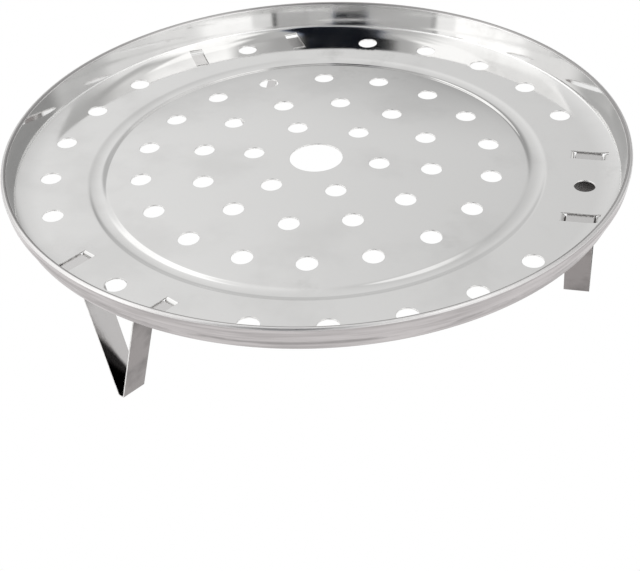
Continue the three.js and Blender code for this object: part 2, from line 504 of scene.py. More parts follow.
@dataclass(frozen=True)
class RolledStrip:
    """Bright rolled spring strip, with fine lines along it, and painted shade in the V, under the tray and on
    its outer faces.
    """

    name: str = "rolled_strip"
    # Painted light and shade by facing: the outer faces (light, dark) are darker than the inner faces
    # (inside), and the flange tops (seat) are lighter still.
    light: Colour = (0.285, 0.264, 0.260)
    dark: Colour = (0.188, 0.174, 0.171)
    inside: Colour = (0.490, 0.478, 0.474)
    seat: Colour = (0.680, 0.672, 0.668)
    # Near-black colour of the painted shade.
    deep: Colour = (0.012, 0.011, 0.011)
    gloss: float = 0.14
    line_depth: float = 0.0012
    wave_depth: float = 0.03
    seat_low: float = 46.5
    seat_high: float = 46.9

    def material(self) -> bpy.types.Material:
        """Builds the material, whose lines follow the strip by its own attributes."""
        tree = ShaderTree(self.name)
        spot = tree.attribute(STRIP_PLACE)
        inner, _, _ = tree.parts(tree.attribute(STRIP_SIDE))
        across, _, height = tree.parts(spot)
        lines = tree.noise(tree.mapped(spot, (2600.0, 30.0, 30.0)), 1.0, 3.0, 0.65)
        cloud = tree.noise(spot, 70.0, 3.0, 0.55)
        wave = tree.noise(spot, 36.0, 1.0, 0.4)
        stain = tree.smooth(cloud, 0.40, 0.64)
        # Painted shade: near black low in the V on the inner faces, and in a band under the tray on all faces
        # below the flange tops.
        slant = height / MM - across * (2.3 / MM) + cloud * 4
        low = (tree.smooth(slant, 17.0, 12.5) * 0.93 + tree.smooth(slant, 10.0, 4.0) * 0.07) * inner
        under = tree.smooth(height / MM, 33.0, 45.0)
        high = under * tree.smooth(height / MM, self.seat_high, self.seat_low) * 0.7
        shade = tree.maths("MAXIMUM", low, high)
        # Painted light and shade: the inner faces get lighter colours than the outer faces, and lighter again
        # at the flange tops.
        upper = tree.mixed(tree.smooth(height / MM, self.seat_low, self.seat_high), self.inside, self.seat)
        faces = tree.mixed(inner, tree.mixed(stain, self.light, self.dark), upper)
        colour = tree.mixed(shade, faces, self.deep)
        roughness = self.gloss + stain * 0.07 + tree.smooth(lines, 0.3, 0.8) * 0.06
        fine = tree.bump(lines, self.line_depth)
        return tree.steel(colour, roughness, tree.bump(wave, self.wave_depth, fine))


@dataclass(frozen=True)
class ShearedEdge:
    """Edge that a punch or a slitter left: half burnished, half torn."""

    name: str = "sheared_edge"
    bright: Colour = (0.86, 0.85, 0.84)
    torn: Colour = (0.70, 0.69, 0.68)
    gloss: float = 0.48
    tear_depth: float = 0.004

    def material(self) -> bpy.types.Material:
        """Builds the material."""
        tree = ShaderTree(self.name)
        streaks = tree.noise(tree.place((2200.0, 2200.0, 90.0)), 1.0, 2.0, 0.6)
        tear = tree.smooth(streaks, 0.38, 0.7)
        colour = tree.mixed(tear, self.bright, self.torn)
        return tree.steel(colour, self.gloss + tear * 0.2, tree.bump(streaks, self.tear_depth))


@dataclass(frozen=True)
class PaleFloor:
    """Plain pale studio floor that glows a little, as an overlit table does."""

    name: str = "pale_floor"
    paint: Colour = (0.80, 0.80, 0.80)
    glow: float = 0.94
    shade: float = 0.12

    def material(self) -> bpy.types.Material:
        """Builds the material."""
        tree = ShaderTree(self.name)
        cloud = tree.noise(tree.place(), 3.0, 2.0)
        light = tree.mixed(cloud, (0.995, 0.995, 0.995), (1.0, 1.0, 1.0))
        glow = tree.make("ShaderNodeEmission", {"Color": light, "Strength": self.glow})
        paint = tuple(self.shade * value for value in self.paint)
        matt = tree.make("ShaderNodeBsdfDiffuse", {"Color": (*paint, 1.0)})
        both = tree.make("ShaderNodeAddShader", {0: glow, 1: matt})
        tree.node("ShaderNodeOutputMaterial", None, {"Surface": both})
        return tree.material


def arc(centre: Sequence[float], radius: float, start: float, end: float, steps: int) -> np.ndarray:
    """Points on an arc.

    Args:
        centre: Its middle.
        radius: Its radius.
        start: First angle in radians.
        end: Last angle in radians.
        steps: Number of chords.

    Returns:
        steps + 1 points.
    """
    angles = np.linspace(start, end, steps + 1)
    return np.asarray(centre) + radius * np.stack([np.cos(angles), np.sin(angles)], axis=1)


def eased(
    first: np.ndarray, leaving: np.ndarray, last: np.ndarray, arriving: np.ndarray, steps: int
) -> np.ndarray:
    """Smooth curve between two points with given directions.

    Args:
        first: Where it starts.
        leaving: Direction there.
        last: Where it ends.
        arriving: Direction there.
        steps: Number of chords.

    Returns:
        The points between first and last, without these two.
    """
    gap = last - first
    turn = leaving[0] * arriving[1] - leaving[1] * arriving[0]
    reach = (gap[0] * arriving[1] - gap[1] * arriving[0]) / turn
    corner = first + reach * leaving
    share = np.linspace(0.0, 1.0, steps + 1)[1:-1, None]
    return (1 - share) ** 2 * first + 2 * share * (1 - share) * corner + share**2 * last


def rounded(corners: Sequence[Sequence[float]], radii: Sequence[float], steps: int) -> np.ndarray:
    """Chain of straight runs with rounded corners.

    Args:
        corners: Its corners, ends included.
        radii: Radius at each corner between the ends.
        steps: Number of chords at each corner.

    Returns:
        The points.
    """
    chain = [np.asarray(corner, float) for corner in corners]
    points = [chain[0]]
    for before, corner, after, radius in zip(chain, chain[1:], chain[2:], radii):
        back = (before - corner) / np.linalg.norm(before - corner)
        forth = (after - corner) / np.linalg.norm(after - corner)
        half = math.acos(float(np.clip(back @ forth, -1.0, 1.0))) / 2
        inwards = (back + forth) / np.linalg.norm(back + forth)
        centre = corner + inwards * radius / math.sin(half)
        spoke = corner + back * radius / math.tan(half) - centre
        turn = math.copysign(math.pi - 2 * half, forth[0] * back[1] - forth[1] * back[0])
        for step in range(steps + 1):
            angle = turn * step / steps
            cos, sin = math.cos(angle), math.sin(angle)
            points.append(centre + (cos * spoke[0] - sin * spoke[1], sin * spoke[0] + cos * spoke[1]))
    points.append(chain[-1])
    return np.array(points)


def chain_normals(points: np.ndarray) -> np.ndarray:
    """Normals of a smooth chain of points, to the left of its run."""
    runs = np.diff(points, axis=0)
    runs /= np.linalg.norm(runs, axis=1)[:, None]
    along = np.vstack([runs[:1], runs[:-1] + runs[1:], runs[-1:]])
    along /= np.linalg.norm(along, axis=1)[:, None]
    return np.stack([-along[:, 1], along[:, 0]], axis=1)


def placed(name: str, data: bpy.types.ID) -> bpy.types.Object:
    """New object in the scene, at the origin.

    Args:
        name: Its name.
        data: Its mesh, camera or light.

    Returns:
        The object.
    """
    made = bpy.data.objects.new(name, data)
    bpy.context.scene.collection.objects.link(made)
    return made


def line_mesh(name: str, chains: Sequence[tuple[np.ndarray, bool]], attribute: str) -> bpy.types.Mesh:
    """Mesh of edges for a tree to start from.

    Args:
        name: Its name.
        chains: Points in metres, and whether the chain is closed.
        attribute: Name of the whole number that tells the chains apart.

    Returns:
        The mesh.
    """
    points: list[Sequence[float]] = []
    edges: list[tuple[int, int]] = []
    marks: list[int] = []
    for mark, (chain, closed) in enumerate(chains):
        start = len(points)
        points.extend(chain.tolist())
        marks.extend([mark] * len(chain))
        edges.extend((start + i, start + i + 1) for i in range(len(chain) - 1))
        if closed:
            edges.append((len(points) - 1, start))
    mesh = bpy.data.meshes.new(name)
    mesh.from_pydata(points, edges, [])
    mesh.attributes.new(attribute, "INT", "POINT").data.foreach_set("value", marks)
    return mesh


@dataclass(frozen=True)
class CornerTable:
    """Faces and corners of a mesh as arrays."""

    place: np.ndarray
    vertex: np.ndarray
    face: np.ndarray
    normal: np.ndarray
    area: np.ndarray
    centre: np.ndarray

    @classmethod
    def of(cls, mesh: bpy.types.Mesh) -> "CornerTable":
        """Reads a mesh.

        Args:
            mesh: The mesh.

        Returns:
            Its arrays.
        """

        def read(items: Any, name: str, kind: type, width: int = 1) -> np.ndarray:
            """One property of all items."""
            values = np.zeros(len(items) * width, kind)
            items.foreach_get(name, values)
            return values.reshape(-1, width) if width > 1 else values

        totals = read(mesh.polygons, "loop_total", np.int32)
        return cls(
            place=read(mesh.vertices, "co", np.float32, 3).astype(float),
            vertex=read(mesh.loops, "vertex_index", np.int32),
            face=np.repeat(np.arange(len(totals)), totals),
            normal=read(mesh.polygons, "normal", np.float32, 3).astype(float),
            area=read(mesh.polygons, "area", np.float32).astype(float),
            centre=read(mesh.polygons, "center", np.float32, 3).astype(float),
        )

    def soft_normals(self, limit: float) -> np.ndarray:
        """Corner normals, smoothed by area over edges that turn less than a limit.

        Args:
            limit: Degrees.

        Returns:
            A normal for each corner.
        """
        order = np.argsort(self.vertex, kind="stable")
        groups = self.vertex[order]
        starts = np.flatnonzero(np.r_[True, groups[1:] != groups[:-1]])
        counts = np.diff(np.r_[starts, len(groups)])
        start = np.repeat(starts, counts)
        count = np.repeat(counts, counts)
        rank = np.arange(len(groups)) - start
        face = self.face[order]
        total = np.zeros((len(groups), 3))
        for shift in range(int(counts.max())):
            other = face[start + (rank + shift) % count]
            match = np.einsum("ij,ij->i", self.normal[face], self.normal[other])
            near = (match > math.cos(math.radians(limit))) & (shift < count)
            total += np.where(near[:, None], self.normal[other] * self.area[other][:, None], 0.0)
        result = np.empty_like(total)
        result[order] = total / np.maximum(np.linalg.norm(total, axis=1), 1e-30)[:, None]
        return result


@dataclass(frozen=True)
class HoleRing:
    """Ring of steam holes."""

    radius: float
    places: int
    left_out: tuple[int, ...] = ()
    repeat: int = 1


@dataclass
class PressedTray:
    """Tray: one polished sheet with a crowned disc, a groove, a flat ring, a hemmed wall, holes and straps.

    Reaches are radii, and facings are parts of a face's normal, that tell the finishes apart. The wall's
    facing is the outward part times the radius.
    """

    floor_height: float = 48.0
    rim_height: float = 12.0
    sheet: float = 0.5
    radius: float = 120.0
    rim_lean: float = 9.0
    rim_bend: float = 0.8
    edge_bend: float = 24.0
    edge_turn: float = 20.0
    hem_gap: float = 1.2
    hem_depth: float = 3.5
    groove_radius: float = 85.0
    groove_width: float = 7.0
    groove_depth: float = 0.75
    groove_ease: float = 0.6
    crown: float = 2.85
    centre_hole: float = 20.6
    steam_hole: float = 8.0
    rollover: float = 0.14
    leg_radius: float = 103.198
    strap_width: float = 5.4
    strap_spacing: float = 44.0
    strap_length: float = 13.0
    strap_run: float = 1.2
    strap_drop: float = 1.6
    strap_bend: float = 0.5
    strap_shoulder: float = 1.6
    strap_lap: float = 0.5
    lance: float = 0.12
    floor_reach: float = 111.0
    crease_reach: float = 113.0
    wall_reach: float = 115.0
    crease_top: float = 52.0
    lip_foot: float = 58.8
    upright_facing: float = 0.3
    wall_facing: float = 55.0
    shoulder_facing: float = 0.62
    crease_facing: tuple[float, float] = (0.35, 0.86)
    sheet_match: float = 8.0
    turn_steps: int = 288
    hole_steps: int = 48
    disc_steps: int = 15
    groove_steps: int = 20
    ease_steps: int = 6
    edge_steps: int = 10
    bend_steps: int = 8
    fold_steps: int = 20
    rings: tuple[HoleRing, ...] = (
        HoleRing(24.898, 6),
        HoleRing(45.2, 12),
        HoleRing(68.101, 18),
        HoleRing(103.198, 24, (1, 7), 8),
    )
    finish: PolishedSheet = field(default_factory=PolishedSheet)
    wall: SpunWall = field(default_factory=SpunWall)
    lip: SpunWall = SpunWall("rolled_lip", (0.800, 0.790, 0.787), (0.720, 0.709, 0.706), gloss=0.30)
    # The lip's inner top gets a darker copy of the lip's finish: painted shade.
    shoulder: SpunWall = SpunWall("lip_shoulder", (0.420, 0.412, 0.410), (0.370, 0.362, 0.360), gloss=0.30)
    # The crease's slanting faces get a brighter, rougher copy of the sheet's finish: a painted highlight along
    # the crease.
    crease: PolishedSheet = PolishedSheet(
        "burnished_crease", (0.97, 0.967, 0.962), (0.94, 0.937, 0.932), (0.90, 0.897, 0.892), gloss=0.30
    )
    edge: ShearedEdge = field(default_factory=ShearedEdge)

    @property
    def floor_middle(self) -> float:
        """Height of the middle of the flat floor's sheet."""
        return self.floor_height - self.sheet / 2

    @property
    def disc_radius(self) -> float:
        """Radius of the crowned disc."""
        return self.groove_radius - self.groove_width / 2

    @property
    def crown_radius(self) -> float:
        """Radius of the crown's own curve."""
        return (self.disc_radius**2 + self.crown**2) / (2 * self.crown)

    def crowned(self, radius: float) -> np.ndarray:
        """Point of the sheet's middle on the crowned disc, or on the flat floor outside it."""
        if radius > self.disc_radius:
            return np.array([radius, self.floor_middle])
        drop = self.crown_radius - math.sqrt(self.crown_radius**2 - radius**2)
        return np.array([radius, self.floor_middle + self.crown - drop])

    def tilt(self, radius: float) -> float:
        """Outward tilt of the sheet's normal at a radius, in radians."""
        return 0.0 if radius > self.disc_radius else math.asin(radius / self.crown_radius)

    def middle(self) -> np.ndarray:
        """Middle of the sheet in half section, from the centre hole out to the end of the hem."""
        lean = math.radians(self.rim_lean)
        half = self.groove_width / 2
        groove = (half**2 + self.groove_depth**2) / (2 * self.groove_depth)
        centre = (self.groove_radius, self.floor_middle - self.groove_depth + groove)
        turn = math.asin(half / groove) - self.groove_ease / groove
        inner_end = self.disc_radius - self.groove_ease
        disc_run = np.linspace(self.centre_hole / 2, inner_end, self.disc_steps)
        disc = [self.crowned(radius) for radius in disc_run]
        valley = arc(centre, groove, -math.pi / 2 - turn, -math.pi / 2 + turn, self.groove_steps)
        slope = self.tilt(inner_end)
        inner_run = np.array([math.cos(slope), -math.sin(slope)])
        down = np.array([math.cos(turn), -math.sin(turn)])
        up = np.array([math.cos(turn), math.sin(turn)])
        floor_start = np.array([self.groove_radius + half + self.groove_ease, self.floor_middle])
        bend_radius = self.rim_bend + self.sheet / 2
        edge_radius = self.edge_bend + self.sheet / 2
        edge_turn = math.radians(self.edge_turn) - math.pi / 2
        fold_radius = (self.hem_gap + self.sheet) / 2
        fold = np.array([self.radius, self.floor_height + self.rim_height]) - self.sheet / 2 - fold_radius
        wall_top = fold + fold_radius * np.array([-math.cos(lean), math.sin(lean)])
        inwards = edge_radius - bend_radius
        bend_height = self.floor_middle + edge_radius + inwards * math.sin(edge_turn)
        wall_foot = bend_height - bend_radius * math.sin(lean)
        foot_radius = wall_top[0] - (wall_top[1] - wall_foot) * math.tan(lean)
        bend = (foot_radius - bend_radius * math.cos(lean), bend_height)
        edge = (bend[0] - inwards * math.cos(edge_turn), self.floor_middle + edge_radius)
        upturn = arc(edge, edge_radius, -math.pi / 2, edge_turn, self.edge_steps)
        corner = arc(bend, bend_radius, edge_turn, -lean, self.bend_steps)
        over = arc(fold, fold_radius, math.pi - lean, -lean, self.fold_steps)
        hem_end = over[-1] - self.hem_depth * np.array([math.sin(lean), math.cos(lean)])
        return np.vstack(
            [
                disc,
                eased(disc[-1], inner_run, valley[0], down, self.ease_steps),
                valley,
                eased(valley[-1], up, floor_start, np.array([1.0, 0.0]), self.ease_steps),
                floor_start,
                upturn,
                corner[1:],
                over,
                hem_end,
            ]
        )

    def outline(self) -> np.ndarray:
        """Closed outline of the half section, with the punched edge of the centre hole rolled over."""
        points = self.middle()
        offset = chain_normals(points) * self.sheet / 2
        upper, lower = points + offset, points - offset
        along = (upper[1] - upper[0]) / np.linalg.norm(upper[1] - upper[0])
        lift = offset[0] / np.linalg.norm(offset[0])
        pivot = upper[0] + self.rollover * (along - lift)
        share = np.linspace(0.0, math.pi / 2, 5)[:, None]
        roll = pivot - self.rollover * (np.cos(share) * along - np.sin(share) * lift)
        return np.vstack([roll, upper[1:], lower[::-1]])

    def strap_path(self) -> np.ndarray:
        """Middle of a strap along its length."""
        end = self.strap_length / 2
        low = self.floor_middle - self.strap_drop
        far = end + self.setback + self.strap_lap
        half = [(end - self.strap_run, low), (end, self.floor_middle), (far, self.floor_middle)]
        radii = [self.strap_shoulder, self.strap_bend, self.strap_bend, self.strap_shoulder]
        return rounded([(-x, z) for x, z in reversed(half)] + half, radii, self.bend_steps)

    @property
    def setback(self) -> float:
        """Length of floor that the rounding at a strap's end takes."""
        return self.strap_shoulder * math.tan(math.atan2(self.strap_drop, self.strap_run) / 2)

    def turned(self, tree: ShapeTree, section: Term) -> Term:
        """Sheet turned about the tray's axis from its outline.

        Args:
            tree: The tree.
            section: Closed outline.

        Returns:
            The closed mesh.
        """
        steps = tree.count("Turn Steps", self.turn_steps)
        points = tree.make("GeometryNodeAttributeDomainSize", {"Geometry": section}, "Point Count")
        grid = tree.make("GeometryNodeMeshGrid", {"Vertices X": steps + 1, "Vertices Y": points + 1})
        index = tree.make("GeometryNodeInputIndex")
        spot = tree.make("GeometryNodeInputPosition")
        sample = tree.make(
            "GeometryNodeSampleIndex",
            {"Geometry": section, "Value": spot, "Index": (index % (points + 1)) % points},
            data_type="FLOAT_VECTOR",
        )
        radius, _, height = tree.parts(sample)
        angle = math.floor(index / (points + 1)) / steps * (-2 * math.pi)
        place = tree.polar(radius, angle, height)
        lathe = tree.make("GeometryNodeSetPosition", {"Geometry": grid, "Position": place})
        return tree.make("GeometryNodeMergeByDistance", {"Geometry": lathe, "Distance": MERGE})

    def punch(self, tree: ShapeTree) -> Term:
        """Cutter of a steam hole, flared where the sheet's upper edge rolls over.

        Args:
            tree: The tree.

        Returns:
            The closed mesh, at the origin.
        """
        radius = tree.length("Hole Diameter", self.steam_hole) / 2
        roll = tree.length("Rollover", self.rollover)
        top = tree.length("Sheet", self.sheet) / 2
        reach = 3 * self.sheet * MM
        turns = [math.radians(angle) for angle in (67.5, 45.0, 22.5)]
        heights = [-reach, top - roll, *[top - roll * (1 - math.cos(a)) for a in turns], top, reach]
        flare = radius + roll
        widths = [radius, radius, *[radius + roll * (1 - math.sin(a)) for a in turns], flare, flare]
        rows = len(heights) - 1
        plain = tree.make(
            "GeometryNodeMeshCylinder",
            {
                "Vertices": tree.count("Hole Steps", self.hole_steps),
                "Side Segments": rows,
                "Radius": 1.0,
                "Depth": 1.0,
            },
        )
        x, y, z = tree.parts(tree.make("GeometryNodeInputPosition"))
        row = math.floor((z + 0.5) * rows + 0.5)
        width = tree.row(row, widths)
        place = tree.vector(x * width, y * width, tree.row(row, heights))
        return tree.make("GeometryNodeSetPosition", {"Geometry": plain, "Position": place})

    def ring(self, tree: ShapeTree, number: int, ring: HoleRing, punch: Term) -> Term:
        """Cutters of one ring of holes.

        Args:
            tree: The tree.
            number: Number of the ring, from the middle.
            ring: The ring.
            punch: Cutter of one hole.

        Returns:
            The instances.
        """
        name = f"Ring {number}"
        places = tree.count(f"{name} Places", ring.places)
        radius = tree.length(f"{name} Radius", ring.radius)
        height = tree.length(f"{name} Height", float(self.crowned(ring.radius)[1]))
        tilt = tree.number(f"{name} Tilt", self.tilt(ring.radius))
        index = tree.make("GeometryNodeInputIndex")
        angle = index / places * (2 * math.pi)
        spot = tree.polar(radius, angle, height)
        points = tree.make("GeometryNodePoints", {"Count": places, "Position": spot})
        sockets = {"Points": points, "Instance": punch, "Rotation": tree.vector(0.0, tilt, angle)}
        if ring.left_out:
            step = index % ring.repeat
            kept = [abs(step - place) > 0.5 for place in ring.left_out]
            sockets["Selection"] = kept[0] * kept[1]
        return tree.make("GeometryNodeInstanceOnPoints", sockets)

    def at_straps(self, tree: ShapeTree, piece: Term) -> Term:
        """A piece at the place of every strap.

        Args:
            tree: The tree.
            piece: The piece, along X at the tray's axis.

        Returns:
            Real copies.
        """
        index = tree.make("GeometryNodeInputIndex")
        side = (index % 2) * 2 - 1
        angle = math.floor(index / 2) * (2 * math.pi / len(LegPlace))
        spread = tree.length("Strap Spacing", self.strap_spacing) / 2
        at_leg = tree.vector(tree.length("Leg Radius", self.leg_radius), side * spread, 0.0)
        place = tree.make(
            "ShaderNodeVectorRotate", {"Vector": at_leg, "Angle": angle}, rotation_type="Z_AXIS"
        )
        points = tree.make("GeometryNodePoints", {"Count": 2 * len(LegPlace), "Position": place})
        copies = tree.make(
            "GeometryNodeInstanceOnPoints",
            {"Points": points, "Instance": piece, "Rotation": tree.vector(0.0, 0.0, angle)},
        )
        return tree.make("GeometryNodeRealizeInstances", {"Geometry": copies})

    def window(self, tree: ShapeTree) -> Term:
        """Cutter of the window that a strap leaves in the floor."""
        size = tree.vector(
            tree.length("Window Length", self.strap_length + 2 * self.setback),
            tree.length("Window Width", self.strap_width + 2 * self.lance),
            4 * self.sheet * MM,
        )
        box = tree.make("GeometryNodeMeshCube", {"Size": size})
        lift = tree.vector(0.0, 0.0, tree.length("Floor Middle", self.floor_middle))
        return tree.make("GeometryNodeTransform", {"Geometry": box, "Translation": lift})

    def strap(self, tree: ShapeTree, path: Term) -> Term:
        """Strap swept along its path."""
        section = tree.make(
            "GeometryNodeCurvePrimitiveQuadrilateral",
            {"Width": tree.length("Strap Width", self.strap_width), "Height": self.sheet * MM},
        )
        curve = tree.make("GeometryNodeMeshToCurve", {"Mesh": path})
        sockets = {"Curve": curve, "Profile Curve": section, "Fill Caps": True}
        return tree.make("GeometryNodeCurveToMesh", sockets)

    def tree(self) -> ShapeTree:
        """Tree that turns, pierces and lances the sheet."""
        tree = ShapeTree("pressed tray")
        mark = tree.make("GeometryNodeInputNamedAttribute", {"Name": "chain"}, data_type="INT")
        chosen = {"Geometry": tree.geometry, "Selection": mark}
        chains = tree.node("GeometryNodeSeparateGeometry", None, chosen)
        blank = self.turned(tree, tree.out(chains, "Inverted"))
        punch = self.punch(tree)
        cutters = [self.ring(tree, i + 1, ring, punch) for i, ring in enumerate(self.rings)]
        holes = tree.make("GeometryNodeJoinGeometry", {"Geometry": cutters})
        holes = tree.make("GeometryNodeRealizeInstances", {"Geometry": holes})
        windows = self.at_straps(tree, self.window(tree))
        straps = self.at_straps(tree, self.strap(tree, tree.out(chains, "Selection")))
        pierced = tree.make(
            "GeometryNodeMeshBoolean",
            {0: blank, 1: [holes, windows]},
            operation="DIFFERENCE",
            solver="MANIFOLD",
        )
        lanced = tree.make(
            "GeometryNodeMeshBoolean", {1: [pierced, straps]}, operation="UNION", solver="MANIFOLD"
        )
        real = tree.make("GeometryNodeRealizeInstances", {"Geometry": lanced})
        x, y, z = tree.parts(tree.make("GeometryNodeInputPosition"))
        across, aside, lift = tree.parts(tree.make("GeometryNodeInputNormal"))
        square = x * x + y * y
        outwards = x * across + y * aside
        upright = (square < (self.floor_reach * MM) ** 2) * (abs(lift) < self.upright_facing)
        outside = (square > (self.wall_reach * MM) ** 2) * (outwards > self.wall_facing * MM)
        lip = (z > self.lip_foot * MM) * (lift > self.upright_facing)
        # Painted shade: the lip's inner top, chosen by which way its faces point, gets the darker shoulder
        # finish.
        shoulder = lip * (outwards < 0.0) * (lift > self.shoulder_facing)
        # Painted highlight: the crease's slanting faces get the brighter crease finish.
        bend = (square > (self.crease_reach * MM) ** 2) * (z < self.crease_top * MM)
        low, high = self.crease_facing
        finishes = (
            ("Sheet", self.finish.material(), True),
            ("Edge", self.edge.material(), upright),
            ("Wall", self.wall.material(), outside),
            ("Lip", self.lip.material(), lip),
            ("Shoulder", self.shoulder.material(), shoulder),
            ("Crease", self.crease.material(), bend * (lift > low) * (lift < high)),
        )
        tree.end(tree.dress(real, finishes))
        return tree

    def sheet_normals(self, table: CornerTable, soft: np.ndarray) -> np.ndarray:
        """True normals of the turned sheet where a face belongs to it, and the soft ones elsewhere.

        Args:
            table: Faces and corners of the tray.
            soft: Corner normals from the mesh alone.

        Returns:
            A normal for each corner.
        """
        points = self.middle() * MM
        normals = chain_normals(points)
        true_face = self.section_normals(table.centre, points, normals)
        match = np.einsum("ij,ij->i", true_face, table.normal)
        of_sheet = np.abs(match) > math.cos(math.radians(self.sheet_match))
        true_vertex = self.section_normals(table.place, points, normals)
        corner_normals = true_vertex[table.vertex] * np.sign(match)[table.face][:, None]
        return np.where(of_sheet[table.face][:, None], corner_normals, soft)

    @staticmethod
    def section_normals(place: np.ndarray, points: np.ndarray, normals: np.ndarray) -> np.ndarray:
        """Normals of the turned sheet at places on it.

        Args:
            place: The places.
            points: Chain of the sheet's middle in half section.
            normals: Normals of the chain.

        Returns:
            A normal for each place, on the chain's left side.
        """
        radius = np.hypot(place[:, 0], place[:, 1])
        flat = np.stack([radius, place[:, 2]], axis=1)
        runs = np.diff(points, axis=0)
        length = np.einsum("ij,ij->i", runs, runs)
        best = np.full(len(flat), np.inf)
        found = np.zeros((len(flat), 2))
        for start, run, square, first, last in zip(points, runs, length, normals, normals[1:]):
            share = np.clip((flat - start) @ run / square, 0.0, 1.0)
            away = np.linalg.norm(flat - start - share[:, None] * run, axis=1)
            closer = away < best
            best = np.where(closer, away, best)
            found[closer] = (first + share[:, None] * (last - first))[closer]
        found /= np.linalg.norm(found, axis=1)[:, None]
        turn = place[:, :2] / np.maximum(radius, 1e-9)[:, None]
        return np.column_stack([turn * found[:, :1], found[:, 1]])

    def build(self) -> bpy.types.Object:
        """Makes the tray in the place of its node.

        Returns:
            The object.
        """
        outline, path = self.outline() * MM, self.strap_path() * MM
        chains = [(np.insert(outline, 1, 0.0, axis=1), True), (np.insert(path, 1, 0.0, axis=1), False)]
        tray = placed("pressed_tray", line_mesh("pressed_tray", chains, "chain"))
        mesh = self.tree().run(tray)
        table = CornerTable.of(mesh)
        dress_mesh(tray, mesh, self.sheet_normals(table, table.soft_normals(SOFT_EDGE)))
        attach(tray, "tray")
        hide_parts("tray")
        return tray


def dress_mesh(obj: bpy.types.Object, mesh: bpy.types.Mesh, normals: np.ndarray) -> None:
    """Gives an object its finished mesh with its own corner normals.

    Args:
        obj: The object.
        mesh: Its mesh.
        normals: A normal for each corner.
    """
    mesh.name = obj.name
    mesh.polygons.foreach_set("use_smooth", [True] * len(mesh.polygons))
    mesh.normals_split_custom_set(normals.tolist())
    obj.data = mesh
    LOG.info("%s: %d faces, %d points", obj.name, len(mesh.polygons), len(mesh.vertices))


class LegPlace(Enum):
    """Legs by their angle about the tray's axis, in degrees."""

    right_leg = 0.0
    rear_left_leg = 120.0
    front_left_leg = 240.0


